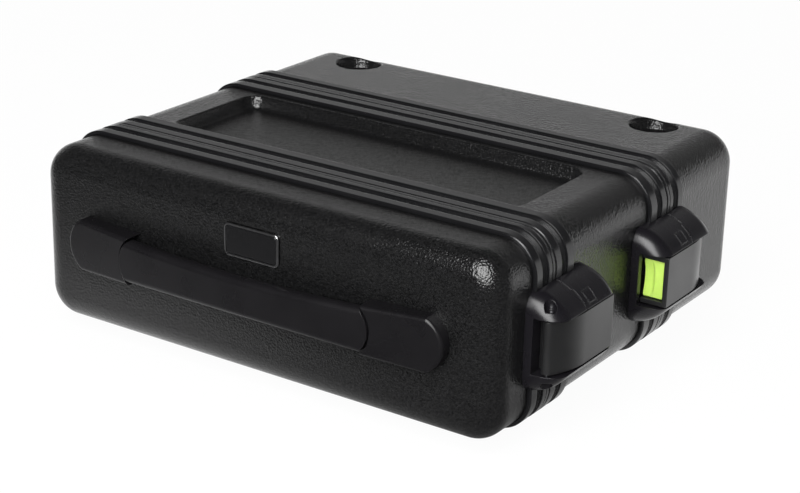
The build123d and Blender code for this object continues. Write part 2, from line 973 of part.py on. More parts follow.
def make_trigger_spring():
    centre = (trigger_top + lever_underside) / 2
    bore = Cylinder(spring_radius - spring_wall, spring_length + overshoot)
    tube = Cylinder(spring_radius, spring_length) - bore
    return Pos(centre, (trigger_back + spring_seat) / 2, 0) * Rot(90, 0, 0) * tube


def make_pin():
    return pin_cylinder(pin_radius, pin_half_length())


def make_rivet(direction, s):
    """A rivet from the floor of the latch's bay to the inside of the shell's wall."""
    length = latch_bay_floor + shell_wall
    shank = Pos(latch_bay_floor - length / 2, 0, 0) * Rot(0, 90, 0) * Cylinder(rivet_radius, length)
    head = Pos(latch_bay_floor + rivet_head_height / 2, 0, 0) * Rot(0, 90, 0) * Cylinder(
        rivet_head_radius, rivet_head_height
    )
    rim = head.edges().filter_by(GeomType.CIRCLE).sort_by(Axis.X)[-1]
    head = fillet(rim, rivet_head_height / 2)
    rivet = shank + head
    return Pos(0, direction * rivet_from_seam, s * rivet_half_spacing) * rivet


# ---- Feet ----

def foot_screw_bore(side, y):
    return Pos(side * socket_x, y, shell_bottom) * Cylinder(
        foot_screw_radius + fit_gap, 3 * shell_wall
    )


def make_foot(side, y):
    foot = Cone(foot_bottom_radius, foot_top_radius, foot_height)
    rim = foot.edges().sort_by(Axis.Z)[0]
    foot = fillet(rim, foot_edge)
    foot -= Cylinder(foot_screw_radius + fit_gap, foot_height + overshoot)
    sink = Cylinder(foot_screw_head_radius + foot_screw_sink_gap, foot_screw_sink)
    foot -= Pos(0, 0, (foot_screw_sink - foot_height) / 2) * sink
    return Pos(side * socket_x, y, foot_height / 2) * foot


def make_foot_screw(side, y):
    top = foot_height + shell_wall
    shank_length = top - foot_screw_sink
    shank = Pos(0, 0, foot_screw_sink + shank_length / 2) * Cylinder(
        foot_screw_radius, shank_length
    )
    head = Pos(0, 0, foot_screw_sink - foot_screw_head_height / 2) * Cylinder(
        foot_screw_head_radius, foot_screw_head_height
    )
    driver = Pos(0, 0, foot_screw_sink - foot_screw_head_height) * Cylinder(
        foot_screw_driver_radius, foot_screw_head_height
    )
    return Pos(side * socket_x, y, 0) * (shank + head - driver)


# ---- Foam ----

def block_between(low, high):
    size = [h - l for l, h in zip(low, high)]
    centre = [(h + l) / 2 for l, h in zip(low, high)]
    return Pos(*centre) * Box(*size)


foam_start = front_seam + foam_end_gap
foam_stop = rear_seam - foam_end_gap
bay_floor = middle - inner_half_height + foam_floor
recess_underside = shell_top - recess_depth - shell_wall
bay_ceiling = recess_underside - foam_gap - foam_ceiling
bay_left = -inner_half_width + foam_side
bay_right = inner_half_width - foam_side
divider_left = bay_left + receiver_bay_width
divider_right = divider_left + foam_divider


def foam_tube():
    return prism(-shell_wall - foam_gap, foam_start, foam_stop)


def foam_slice(low_x, high_x, low_z, high_z):
    block = block_between((low_x, foam_start, low_z), (high_x, foam_stop, high_z))
    return foam_tube() & block


def make_body_foam():
    wide = shell_width
    return {
        "body_foam_floor": foam_slice(-wide, wide, 0, bay_floor),
        "body_foam_ceiling": foam_slice(-wide, wide, bay_ceiling, recess_underside - foam_gap),
        "body_foam_left": foam_slice(-wide, bay_left, bay_floor, bay_ceiling),
        "body_foam_right": foam_slice(bay_right, wide, bay_floor, bay_ceiling),
        "body_foam_divider": foam_slice(divider_left, divider_right, bay_floor, bay_ceiling),
    }


def make_front_lid_foam():
    start = front_face + shell_wall + lid_foam_front_gap
    radius = front_edge_radius - shell_wall - lid_foam_front_gap / 2
    stop = front_seam - foam_end_gap
    return closed_end(-shell_wall - foam_gap, start, stop, radius, "start")


def make_rear_lid_foam():
    start = rear_seam + foam_end_gap
    stop = rear_face - shell_wall - foam_gap
    foam = closed_end(
        -shell_wall - foam_gap, start, stop, rear_edge_radius - shell_wall, "stop"
    )
    wide = shell_width
    socket_underside = shell_top - socket_depth - shell_wall
    foam &= block_between((-wide, start, 0), (wide, stop, socket_underside - foam_gap))
    pocket = block_between(
        (divider_right, start - overshoot, bay_floor),
        (bay_right, start + lid_pocket_depth, bay_ceiling),
    )
    return foam - pocket


# ---- Build and write every node ----

def build_nodes():
    nodes = {
        "body_shell": make_body_shell(),
        "front_lid_shell": make_front_lid_shell(),
        "rear_lid_shell": make_rear_lid_shell(),
        "body_front_valance": make_valance(body_valance_profile(), "front", "keeper"),
        "body_rear_valance": make_valance(body_valance_profile(), "rear", "keeper"),
        "front_lid_valance": make_valance(lid_valance_profile(), "front", "base"),
        "rear_lid_valance": make_valance(lid_valance_profile(), "rear", "base"),
        "front_seal": make_seal("front"),
        "rear_seal": make_seal("rear"),
        "handle_grip": make_handle_grip(),
        "handle_strap": make_handle_strap(),
        "right_handle_cap": make_right_cap(),
        "left_handle_cap": mirror(make_right_cap(), about=Plane.YZ),
        "handle_backing_plates": make_backing_plates(),
        "handle_screws": make_handle_screws(),
        "badge_bezel": make_badge_bezel(),
        "badge_face": make_badge_face(),
        "body_feet": [make_foot(side, body_foot_y) for side in (-1, 1)],
        "rear_feet": [make_foot(side, socket_y) for side in (-1, 1)],
        "body_foot_screws": [make_foot_screw(side, body_foot_y) for side in (-1, 1)],
        "rear_foot_screws": [make_foot_screw(side, socket_y) for side in (-1, 1)],
        "front_lid_foam": make_front_lid_foam(),
        "rear_lid_foam": make_rear_lid_foam(),
    }
    nodes.update(make_body_foam())
    nodes.update(build_latches())
    return nodes


def build_latches():
    base = make_latch_base()
    keeper = make_keeper()
    lever = make_lever()
    claw = make_claw()
    trigger = make_trigger()
    spring = make_trigger_spring()
    pin = make_pin()
    nodes = {"keeper_rivets": []}
    for end in ("front", "rear"):
        nodes[end + "_latch_pins"] = []
        nodes[end + "_latch_rivets"] = []
        for side in ("left", "right"):
            name = end + "_" + side + "_"
            nodes[name + "latch_base"] = place_latch(base, side, end)
            nodes[name + "keeper"] = place_latch(keeper, side, end)
            nodes[name + "lever"] = place_latch(lever, side, end)
            nodes[name + "claw"] = place_latch(claw, side, end)
            nodes[name + "trigger"] = place_latch(trigger, side, end)
            nodes[name + "trigger_spring"] = place_latch(spring, side, end)
            nodes[end + "_latch_pins"].append(place_latch(pin, side, end))
            for s in (-1, 1):
                base_rivet = place_latch(make_rivet(-1, s), side, end)
                keeper_rivet = place_latch(make_rivet(1, s), side, end)
                nodes[end + "_latch_rivets"].append(base_rivet)
                nodes["keeper_rivets"].append(keeper_rivet)
    return nodes


def write_nodes(nodes):
    os.makedirs("parts", exist_ok=True)
    for name, shape in nodes.items():
        if isinstance(shape, list):
            shape = Compound(children=[solid for piece in shape for solid in piece.solids()])
        export_step(shape, "parts/" + name + ".step")


write_nodes(build_nodes())
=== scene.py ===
import json
import math
import bpy
from mathutils import Matrix, Vector

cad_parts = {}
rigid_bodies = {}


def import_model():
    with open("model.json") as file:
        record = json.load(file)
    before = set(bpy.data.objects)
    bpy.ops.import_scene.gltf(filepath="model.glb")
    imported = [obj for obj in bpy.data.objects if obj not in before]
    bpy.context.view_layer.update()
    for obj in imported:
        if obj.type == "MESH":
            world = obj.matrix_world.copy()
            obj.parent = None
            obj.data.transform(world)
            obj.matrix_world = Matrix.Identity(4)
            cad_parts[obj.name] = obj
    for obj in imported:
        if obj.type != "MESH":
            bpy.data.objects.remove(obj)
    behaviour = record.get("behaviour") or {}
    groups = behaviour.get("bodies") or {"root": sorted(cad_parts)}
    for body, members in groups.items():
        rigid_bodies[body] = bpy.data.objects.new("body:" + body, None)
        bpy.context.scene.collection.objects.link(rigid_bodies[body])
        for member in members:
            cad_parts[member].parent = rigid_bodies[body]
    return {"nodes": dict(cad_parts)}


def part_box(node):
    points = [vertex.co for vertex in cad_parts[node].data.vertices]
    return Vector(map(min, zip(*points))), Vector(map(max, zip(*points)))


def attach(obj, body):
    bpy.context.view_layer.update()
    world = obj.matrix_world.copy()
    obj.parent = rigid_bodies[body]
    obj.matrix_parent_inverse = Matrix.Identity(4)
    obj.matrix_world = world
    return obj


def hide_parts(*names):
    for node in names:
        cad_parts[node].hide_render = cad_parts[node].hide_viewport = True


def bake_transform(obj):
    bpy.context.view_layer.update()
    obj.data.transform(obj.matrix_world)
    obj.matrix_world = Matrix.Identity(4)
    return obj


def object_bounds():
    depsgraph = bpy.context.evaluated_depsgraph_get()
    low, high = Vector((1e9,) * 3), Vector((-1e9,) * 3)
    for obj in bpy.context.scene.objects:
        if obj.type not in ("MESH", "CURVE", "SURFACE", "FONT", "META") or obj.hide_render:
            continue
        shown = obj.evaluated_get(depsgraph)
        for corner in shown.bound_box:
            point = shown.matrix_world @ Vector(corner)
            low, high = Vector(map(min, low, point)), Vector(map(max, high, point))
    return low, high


for leftover in list(bpy.data.objects):
    bpy.data.objects.remove(leftover)
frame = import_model()
cad_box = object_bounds()


# ---- Case shells ----
# Three tubs of black polyethylene: the middle body and a lid on each of its ends. They are moulded
# in a tool with an etched haircell skin, so their faces are finely pebbled and half matt.

SHELL_BLACK = (0.006, 0.006, 0.0062)
# Painted shade and painted light: the grain's hollows are coloured darker and its crests lighter.
SHELL_SHADED_HOLLOWS = (0.001, 0.001, 0.0011)
SHELL_LIT_CRESTS = (0.013, 0.013, 0.0133)
SHELL_SHINE = 0.55
SHELL_ROUGHNESS = 0.18
SHELL_GLOSSIEST = 0.16
SHELL_DULLEST = 0.2
PEBBLES_PER_METRE = 640.0
PEBBLE_SOFTNESS = 0.6
PEBBLE_SHARE = 1.6
WRINKLES_PER_METRE = 790.0
WRINKLE_DETAIL = 3.0
WRINKLE_RAGGEDNESS = 0.6
GRAIN_DEPTH = 0.00027
GRAIN_STRENGTH = 0.7
CLOUDS_PER_METRE = 9.0
CLOUD_DETAIL = 3.0
NOISE_LOW = 0.3
NOISE_HIGH = 0.7
BEVEL_SAMPLES = 6


def finish_of(name, colour, roughness):
    """A new principled material, with its nodes, its links and its shader."""
    material = bpy.data.materials.new(name)
    material.use_nodes = True
    nodes = material.node_tree.nodes
    links = material.node_tree.links
    shader = nodes["Principled BSDF"]
    shader.inputs["Base Color"].default_value = (*colour, 1.0)
    shader.inputs["Roughness"].default_value = roughness
    return material, nodes, links, shader


def place_in_metres(nodes, links, *textures):
    """Textures that sit still on the piece, counted in cells per metre."""
    place = nodes.new("ShaderNodeTexCoord")
    for texture in textures:
        links.new(place.outputs["Object"], texture.inputs["Vector"])


def noise(nodes, scale, detail=2.0, raggedness=0.5):
    """Cloudy noise. Its detail is in octaves, and each one is raggedness as strong as the last."""
    texture = nodes.new("ShaderNodeTexNoise")
    texture.inputs["Scale"].default_value = scale
    texture.inputs["Detail"].default_value = detail
    texture.inputs["Roughness"].default_value = raggedness
    return texture


def combine(nodes, links, operation, *parts):
    """One number worked out from sockets and plain numbers."""
    result = nodes.new("ShaderNodeMath")
    result.operation = operation
    for i, part in enumerate(parts):
        if isinstance(part, float):
            result.inputs[i].default_value = part
        else:
            links.new(part, result.inputs[i])
    return result.outputs["Value"]


def spread(nodes, links, source, low, high):
    """The texture's middle range, stretched to run from low to high."""
    ramp = nodes.new("ShaderNodeMapRange")
    ramp.inputs["From Min"].default_value = NOISE_LOW
    ramp.inputs["From Max"].default_value = NOISE_HIGH
    ramp.inputs["To Min"].default_value = low
    ramp.inputs["To Max"].default_value = high
    links.new(source, ramp.inputs["Value"])
    return ramp.outputs["Result"]


def tint(nodes, links, shader, share, dark, light):
    """Colours the surface from dark to light as the share goes from 0 to 1."""
    mix = nodes.new("ShaderNodeMix")
    mix.data_type = "RGBA"
    mix.inputs["A"].default_value = (*dark, 1.0)
    mix.inputs["B"].default_value = (*light, 1.0)
    links.new(share, mix.inputs["Factor"])
    links.new(mix.outputs["Result"], shader.inputs["Base Color"])


def raise_surface(nodes, links, shader, height, depth, strength, edge=0.0):
    """Bumps of a given depth. With an edge radius, sharp edges also shine as if they were rounded."""
    bump = nodes.new("ShaderNodeBump")
    if edge > 0:
        rounded = nodes.new("ShaderNodeBevel")
        rounded.samples = BEVEL_SAMPLES
        rounded.inputs["Radius"].default_value = edge
        links.new(rounded.outputs["Normal"], bump.inputs["Normal"])
    bump.inputs["Distance"].default_value = depth
    bump.inputs["Strength"].default_value = strength
    links.new(height, bump.inputs["Height"])
    links.new(bump.outputs["Normal"], shader.inputs["Normal"])


def haircell_plastic():
    """Half-matt black polyethylene with an etched skin of small pebbles and wrinkles."""
    material, nodes, links, shader = finish_of("haircell_polyethylene", SHELL_BLACK, SHELL_ROUGHNESS)
    shader.inputs["Specular IOR Level"].default_value = SHELL_SHINE
    pebbles = nodes.new("ShaderNodeTexVoronoi")
    pebbles.feature = "SMOOTH_F1"
    pebbles.inputs["Scale"].default_value = PEBBLES_PER_METRE
    pebbles.inputs["Smoothness"].default_value = PEBBLE_SOFTNESS
    wrinkles = noise(nodes, WRINKLES_PER_METRE, WRINKLE_DETAIL, WRINKLE_RAGGEDNESS)
    clouds = noise(nodes, CLOUDS_PER_METRE, CLOUD_DETAIL)
    place_in_metres(nodes, links, pebbles, wrinkles, clouds)
    skin = combine(
        nodes, links, "MULTIPLY_ADD", pebbles.outputs["Distance"], PEBBLE_SHARE, wrinkles.outputs["Fac"]
    )
    raise_surface(nodes, links, shader, skin, GRAIN_DEPTH, GRAIN_STRENGTH)
    gloss = spread(nodes, links, clouds.outputs["Fac"], SHELL_GLOSSIEST, SHELL_DULLEST)
    links.new(gloss, shader.inputs["Roughness"])
    # Painted shade and painted highlight: the wrinkle texture darkens the grain's hollows and lightens
    # its crests, the way light falling on the pebbled skin would shade it.
    painted_grain_shading = spread(nodes, links, wrinkles.outputs["Fac"], 0.0, 1.0)
    tint(nodes, links, shader, painted_grain_shading, SHELL_SHADED_HOLLOWS, SHELL_LIT_CRESTS)
    return material


def dress(material, *names):
    """Gives CAD nodes their finish."""
    for name in names:
        for slot in frame["nodes"][name].material_slots:
            slot.material = material


dress(haircell_plastic(), "body_shell", "front_lid_shell", "rear_lid_shell")


# ---- Rims and seals ----
# Each seam has a rim on both sides, extruded with two lands and a channel of four fine ribs, and
# bent round the case. Its skin is satin black, and a soft foam-rubber ring lies in the lid's groove.

RIM_BLACK = (0.007, 0.007, 0.0077)
SEAL_BLACK = (0.02, 0.02, 0.02)
EDGE_RADIUS = 0.0008
SATIN_STRENGTH = 0.5
SATIN_CLOUDS_PER_METRE = 36.0
SATIN_GLOSSIER = 0.04
SATIN_DULLER = 0.05
SATIN_DARKER = 0.8
SATIN_LIGHTER = 1.3


def satin_black(name, colour, roughness, specks, depth, shine=0.5):
    """Smooth satin black, with fine specks (per metre) and faint variation in its gloss."""
    material, nodes, links, shader = finish_of(name, colour, roughness)
    shader.inputs["Specular IOR Level"].default_value = shine
    fine = noise(nodes, specks)
    clouds = noise(nodes, SATIN_CLOUDS_PER_METRE)
    place_in_metres(nodes, links, fine, clouds)
    raise_surface(nodes, links, shader, fine.outputs["Fac"], depth, SATIN_STRENGTH, EDGE_RADIUS)
    gloss = spread(
        nodes, links, clouds.outputs["Fac"], roughness - SATIN_GLOSSIER, roughness + SATIN_DULLER
    )
    links.new(gloss, shader.inputs["Roughness"])
    dark = tuple(SATIN_DARKER * c for c in colour)
    light = tuple(SATIN_LIGHTER * c for c in colour)
    tint(nodes, links, shader, clouds.outputs["Fac"], dark, light)
    return material


rim_black = satin_black("satin_rim", RIM_BLACK, roughness=0.19, specks=2600.0, depth=0.00002, shine=0.45)
dress(rim_black, "body_front_valance", "body_rear_valance", "front_lid_valance", "rear_lid_valance")
seal_rubber = satin_black("foam_rubber", SEAL_BLACK, roughness=0.85, specks=1500.0, depth=0.0002)
dress(seal_rubber, "front_seal", "rear_seal")


# ---- Handle ----
# A spring-steel strap carries a soft vinyl grip. Its ends slide in two moulded caps, so the grip
# can lift a few millimetres off the case. The caps are held by screws from inside the lid, which
# run through steel backing plates.

HANDLE_BLACK = (0.006, 0.0056, 0.0064)
ZINC_GREY = (0.62, 0.63, 0.65)
BLUED_GREY = (0.24, 0.25, 0.28)
STEEL_CLOUDS_PER_METRE = 300.0
STEEL_CLOUD_DETAIL = 3.0
STEEL_GLOSSIER = 0.06
STEEL_DULLER = 0.08
STEEL_DEPTH = 0.00001
STEEL_STRENGTH = 0.4


def steel(name, colour, roughness):
    """Plated steel with a faintly cloudy shine."""
    material, nodes, links, shader = finish_of(name, colour, roughness)
    shader.inputs["Metallic"].default_value = 1.0
    clouds = noise(nodes, STEEL_CLOUDS_PER_METRE, STEEL_CLOUD_DETAIL)
    place_in_metres(nodes, links, clouds)
    gloss = spread(
        nodes, links, clouds.outputs["Fac"], roughness - STEEL_GLOSSIER, roughness + STEEL_DULLER
    )
    links.new(gloss, shader.inputs["Roughness"])
    raise_surface(nodes, links, shader, clouds.outputs["Fac"], STEEL_DEPTH, STEEL_STRENGTH)
    return material


vinyl = satin_black("grip_vinyl", HANDLE_BLACK, roughness=0.29, specks=3200.0, depth=0.00003, shine=0.28)
cap_plastic = satin_black(
    "cap_plastic", HANDLE_BLACK, roughness=0.28, specks=2800.0, depth=0.00003, shine=0.3
)
zinc = steel("zinc_plated_steel", ZINC_GREY, roughness=0.28)
spring_steel = steel("blued_spring_steel", BLUED_GREY, roughness=0.35)
dress(vinyl, "handle_grip")
dress(cap_plastic, "left_handle_cap", "right_handle_cap")
dress(spring_steel, "handle_strap")
dress(zinc, "handle_backing_plates", "handle_screws")


# ---- Badge ----
# A bare badge on the front lid: a slab of gloss black resin, set in a thin bright frame with a
# bevelled rim. It carries no words and no sign.

RESIN_BLACK = (0.006, 0.006, 0.0065)
RESIN_ROUGHNESS = 0.08
COAT_SHARE = 0.6
COAT_ROUGHNESS = 0.04
RIPPLES_PER_METRE = 90.0
RIPPLE_DETAIL = 1.0
RIPPLE_DEPTH = 0.0002
RIPPLE_STRENGTH = 0.3
FRAME_CHROME = (0.55, 0.55, 0.56)


def gloss_resin():
    """Black resin under a clear coat, with the slight ripple of a poured surface."""
    material, nodes, links, shader = finish_of("badge_resin", RESIN_BLACK, RESIN_ROUGHNESS)
    shader.inputs["Coat Weight"].default_value = COAT_SHARE
    shader.inputs["Coat Roughness"].default_value = COAT_ROUGHNESS
    ripple = noise(nodes, RIPPLES_PER_METRE, RIPPLE_DETAIL)
    place_in_metres(nodes, links, ripple)
    raise_surface(nodes, links, shader, ripple.outputs["Fac"], RIPPLE_DEPTH, RIPPLE_STRENGTH)
    return material


dress(steel("badge_chrome", FRAME_CHROME, roughness=0.18), "badge_bezel")
dress(gloss_resin(), "badge_face")


# ---- Latch housings ----
# Each latch has a domed housing in two halves, riveted to the rims on each side of the seam. The lid's
# half holds the lever's pin, and the body's half is the keeper. They are smooth satin nylon.

HOUSING_BLACK = (0.007, 0.0064, 0.008)
PIN_STEEL = (0.5, 0.5, 0.52)

latches = [end + "_" + side for end in ("front", "rear") for side in ("left", "right")]
housing_nylon = satin_black(
    "housing_nylon", HOUSING_BLACK, roughness=0.27, specks=3600.0, depth=0.00002, shine=0.42
)
for latch in latches:
    dress(housing_nylon, latch + "_latch_base", latch + "_keeper")
dress(steel("polished_pin_steel", PIN_STEEL, roughness=0.14), "front_latch_pins", "rear_latch_pins")
dress(zinc, "front_latch_rivets", "rear_latch_rivets", "keeper_rivets")


# ---- Levers and claws ----
# The lever is a moulded cover that turns on its pin, with a finely sparked outer face. Under it sits
# a steel claw that reaches over the keeper's rib.

LEVER_BLACK = (0.01, 0.01, 0.0104)

lever_nylon = satin_black(
    "lever_nylon", LEVER_BLACK, roughness=0.33, specks=5200.0, depth=0.00004, shine=0.8
)
for latch in latches:
    dress(lever_nylon, latch + "_lever")
    dress(zinc, latch + "_claw")


# ---- Triggers and their springs ----
# A lime green acetal button slides in the lever's end, and a small coil spring pushes it back out.

TRIGGER_LIME = (0.47, 0.68, 0.125)
LIME_ROUGHNESS = 0.32
LIME_GLOSSIEST = 0.28
LIME_DULLEST = 0.38
LIME_DARKER = 0.94
LIME_LIGHTER = 1.06
LIME_CLOUDS_PER_METRE = 220.0
LIME_CLOUD_DETAIL = 3.0
LIME_DEPTH = 0.00002
LIME_STRENGTH = 0.4
GLOW_SHARE = 0.15
GLOW_COLOURS = (0.4, 0.6, 0.1)
GLOW_DEPTH = 0.002
SPRING_WIRE = 0.0008
SPRING_TURNS = 5
SPRING_FLAT_TURNS = 0.75
SPRING_STEPS = 20
SPRING_SIDES = 8


def add_mesh(name, points, faces, material):
    """A new thing in the scene, made of points and faces."""
    mesh = bpy.data.meshes.new(name)
    mesh.from_pydata(points, [], faces)
    mesh.materials.append(material)
    thing = bpy.data.objects.new(name, mesh)
    bpy.context.scene.collection.objects.link(thing)
    return thing


def lime_acetal():
    """Lime green acetal, which lets a little light in under its surface."""
    material, nodes, links, shader = finish_of("lime_acetal", TRIGGER_LIME, LIME_ROUGHNESS)
    shader.inputs["Subsurface Weight"].default_value = GLOW_SHARE
    shader.inputs["Subsurface Radius"].default_value = GLOW_COLOURS
    shader.inputs["Subsurface Scale"].default_value = GLOW_DEPTH
    clouds = noise(nodes, LIME_CLOUDS_PER_METRE, LIME_CLOUD_DETAIL)
    place_in_metres(nodes, links, clouds)
    dark = tuple(LIME_DARKER * c for c in TRIGGER_LIME)
    light = tuple(min(1.0, LIME_LIGHTER * c) for c in TRIGGER_LIME)
    tint(nodes, links, shader, clouds.outputs["Fac"], dark, light)
    gloss = spread(nodes, links, clouds.outputs["Fac"], LIME_GLOSSIEST, LIME_DULLEST)
    links.new(gloss, shader.inputs["Roughness"])
    raise_surface(nodes, links, shader, clouds.outputs["Fac"], LIME_DEPTH, LIME_STRENGTH)
    return material


def coil_spring(name, node):
    """A coil spring that fills the box of its CAD tube, with its end turns lying flat."""
    low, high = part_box(node)
    centre = (low + high) / 2
    radius = (high.x - low.x) / 2 - SPRING_WIRE / 2
    points = []
    steps = SPRING_TURNS * SPRING_STEPS
    rising_turns = SPRING_TURNS - 2 * SPRING_FLAT_TURNS
    for i in range(steps + 1):
        turns = i / SPRING_STEPS
        climb = min(max((turns - SPRING_FLAT_TURNS) / rising_turns, 0.0), 1.0)
        y = low.y + SPRING_WIRE / 2 + climb * (high.y - low.y - SPRING_WIRE)
        turn = 2 * math.pi * turns
        outward = Vector((math.cos(turn), 0.0, math.sin(turn)))
        for j in range(SPRING_SIDES):
            around = 2 * math.pi * j / SPRING_SIDES
            rim = outward * math.cos(around) + Vector((0.0, math.sin(around), 0.0))
            points.append(Vector((centre.x, y, centre.z)) + outward * radius + rim * SPRING_WIRE / 2)
    faces = []
    for i in range(steps):
        for j in range(SPRING_SIDES):
            k = (j + 1) % SPRING_SIDES
            ring = i * SPRING_SIDES
            after = ring + SPRING_SIDES
            faces.append((ring + j, ring + k, after + k, after + j))
    spring = add_mesh(name, points, faces, spring_steel)
    for face in spring.data.polygons:
        face.use_smooth = True
    return spring


lime = lime_acetal()
for latch in latches:
    dress(lime, latch + "_trigger")
    spring = coil_spring(latch + "_coil_spring", latch + "_trigger_spring")
    low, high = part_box(latch + "_trigger_spring")
    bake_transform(spring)
    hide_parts(latch + "_trigger_spring")


# ---- Feet ----
# Four round feet of black rubber, two under the body and two under the rear lid. Each is held by
# one zinc-plated screw, sunk in its middle.

FOOT_BLACK = (0.022, 0.022, 0.022)

foot_rubber = satin_black("foot_rubber", FOOT_BLACK, roughness=0.75, specks=1800.0, depth=0.00008)
dress(foot_rubber, "body_feet", "rear_feet")
dress(zinc, "body_foot_screws", "rear_foot_screws")


# ---- Foam ----
# Soft charcoal foam, cut with a die, lines the body and fills both lids. Its cut edges are a little
# rounded, and the pads in the lids have a convoluted face towards the body.

FOAM_CHARCOAL = (0.035, 0.035, 0.038)
FOAM_DARK = (0.02, 0.02, 0.022)
FOAM_LIGHT = (0.055, 0.055, 0.06)
FOAM_ROUGHNESS = 0.95
FOAM_SHINE = 0.2
CELLS_PER_METRE = 900.0
CELL_SHARE = 0.6
TEARS_PER_METRE = 420.0
TEAR_DETAIL = 4.0
TEAR_RAGGEDNESS = 0.7
CELL_DEPTH = 0.0006
CELL_STRENGTH = 0.9
FOAM_VOXEL = 0.003
FOAM_SMOOTHING = 6
FOAM_SMOOTHING_SHARE = 0.5
CONVOLUTION_PITCH = 0.026
CONVOLUTION_DEPTH = 0.011
CONVOLUTION_MARGIN = 0.012
CONVOLUTION_FADE = 0.008


def open_cell_foam():
    """Charcoal foam whose cut faces show open cells, torn here and there."""
    material, nodes, links, shader = finish_of("open_cell_foam", FOAM_CHARCOAL, FOAM_ROUGHNESS)
    shader.inputs["Specular IOR Level"].default_value = FOAM_SHINE
    cells = nodes.new("ShaderNodeTexVoronoi")
    cells.inputs["Scale"].default_value = CELLS_PER_METRE
    tears = noise(nodes, TEARS_PER_METRE, TEAR_DETAIL, TEAR_RAGGEDNESS)
    place_in_metres(nodes, links, cells, tears)
    height = combine(
        nodes, links, "MULTIPLY_ADD", cells.outputs["Distance"], CELL_SHARE, tears.outputs["Fac"]
    )
    raise_surface(nodes, links, shader, height, CELL_DEPTH, CELL_STRENGTH)
    tint(nodes, links, shader, tears.outputs["Fac"], FOAM_DARK, FOAM_LIGHT)
    return material


def soft_copy(node, name):
    """A copy of a CAD solid with its edges softened, as foam is when a die has cut it."""
    source = frame["nodes"][node]
    mesh = source.data.copy()
    mesh.transform(source.matrix_world)
    mesh.materials.clear()
    pad = bpy.data.objects.new(name, mesh)
    bpy.context.scene.collection.objects.link(pad)
    remesh = pad.modifiers.new("cells", "REMESH")
    remesh.mode = "VOXEL"
    remesh.voxel_size = FOAM_VOXEL
    smooth = pad.modifiers.new("soften", "SMOOTH")
    smooth.factor = FOAM_SMOOTHING_SHARE
    smooth.iterations = FOAM_SMOOTHING
    evaluated = pad.evaluated_get(bpy.context.evaluated_depsgraph_get())
    softened = bpy.data.meshes.new_from_object(evaluated)
    pad.modifiers.clear()
    pad.data = softened
    for face in softened.polygons:
        face.use_smooth = True
    return pad


def fade_in(distance):
    """From 0 at the convoluted area's border to 1 well inside it."""
    share = min(max(distance / CONVOLUTION_FADE, 0.0), 1.0)
    return share * share * (3 - 2 * share)


def convolute(pad, left, right, bottom, top, face_y, inward):
    """Presses rows of dimples into the pad's face at face_y, inside a rectangle."""
    for vertex in pad.data.vertices:
        place = vertex.co
        if abs(place.y - face_y) > FOAM_VOXEL:
            continue
        border = min(place.x - left, right - place.x, place.z - bottom, top - place.z)
        waves = math.cos(2 * math.pi * place.x / CONVOLUTION_PITCH)
        waves *= math.cos(2 * math.pi * place.z / CONVOLUTION_PITCH)
        place.y += inward * CONVOLUTION_DEPTH * fade_in(border) * (0.5 - 0.5 * waves)


foam = open_cell_foam()
foam_bodies = {
    "body_foam_floor": "body", "body_foam_ceiling": "body", "body_foam_left": "body",
    "body_foam_right": "body", "body_foam_divider": "body",
    "front_lid_foam": "front_lid", "rear_lid_foam": "rear_lid",
}
for node, body in foam_bodies.items():
    pad = soft_copy(node, node + "_pad")
    low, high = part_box(node)
    left = low.x + CONVOLUTION_MARGIN
    right = high.x - CONVOLUTION_MARGIN
    bottom = low.z + CONVOLUTION_MARGIN
    top = high.z - CONVOLUTION_MARGIN
    if node == "front_lid_foam":
        convolute(pad, left, right, bottom, top, high.y, -1)
    if node == "rear_lid_foam":
        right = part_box("body_foam_divider")[1].x - CONVOLUTION_MARGIN
        convolute(pad, left, right, bottom, top, low.y, 1)
    pad.data.materials.append(foam)
    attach(pad, body)
    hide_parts(node)


# ---- Studio ----
# A white table with a low white wall round it, one large soft lamp in front and above, and a dim
# room over them. Shiny things see the table fade to dark where it comes towards the camera.

FLOOR_HALF = 6.0
WALL_RADIUS = 5.0
WALL_HEIGHT = 0.8
WALL_SIDES = 96
CARD_WHITE = (0.93, 0.93, 0.93)
CARD_ROUGHNESS = 0.9
CARD_GLOW = 0.96
CAMERA_SIDE = 35.0
CAMERA_SIDE_FADE = (0.05, 0.28)
CAMERA_SIDE_DIM = 0.05
FRONT_SIDE = -20.0
FRONT_SIDE_FADE = (0.16, 0.54)
FRONT_SIDE_DIM = 0.06
ROOM_WHITE = (1.0, 1.0, 1.0)
ROOM_LIGHT = 0.38
ROOM_BAND = 0.4
ROOM_BAND_FADE = (0.45, 0.75)
ROOM_TOP = 0.03
ROOM_BACK_FADE = (-0.85, -0.4)
ROOM_FRONT_SHARE = 0.15
LAMP_AZIMUTH = 18.0
LAMP_ELEVATION = 35.0
LAMP_DISTANCE = 1.9
LAMP_WIDTH = 1.1
LAMP_HEIGHT = 1.6
LAMP_POWER = 56.0


def direction(azimuth, elevation):
    """A unit vector towards a place round the case. Azimuth 0 is straight in front of it."""
    turn = math.radians(azimuth)
    rise = math.radians(elevation)
    return Vector((
        math.sin(turn) * math.cos(rise), -math.cos(turn) * math.cos(rise), math.sin(rise)
    ))


def fade(nodes, links, source, between, first, last):
    """A smooth step from first to last, while the source goes between two values."""
    step = nodes.new("ShaderNodeMapRange")
    step.interpolation_type = "SMOOTHSTEP"
    step.inputs["From Min"].default_value = between[0]
    step.inputs["From Max"].default_value = between[1]
    step.inputs["To Min"].default_value = first
    step.inputs["To Max"].default_value = last
    links.new(source, step.inputs["Value"])
    return step.outputs["Result"]


def distance_toward(nodes, links, place, azimuth):
    """How far a place lies from the case's middle, towards an azimuth."""
    toward = nodes.new("ShaderNodeVectorMath")
    toward.operation = "DOT_PRODUCT"
    toward.inputs[1].default_value = direction(azimuth, 0.0)
    links.new(place, toward.inputs[0])
    return toward.outputs["Value"]


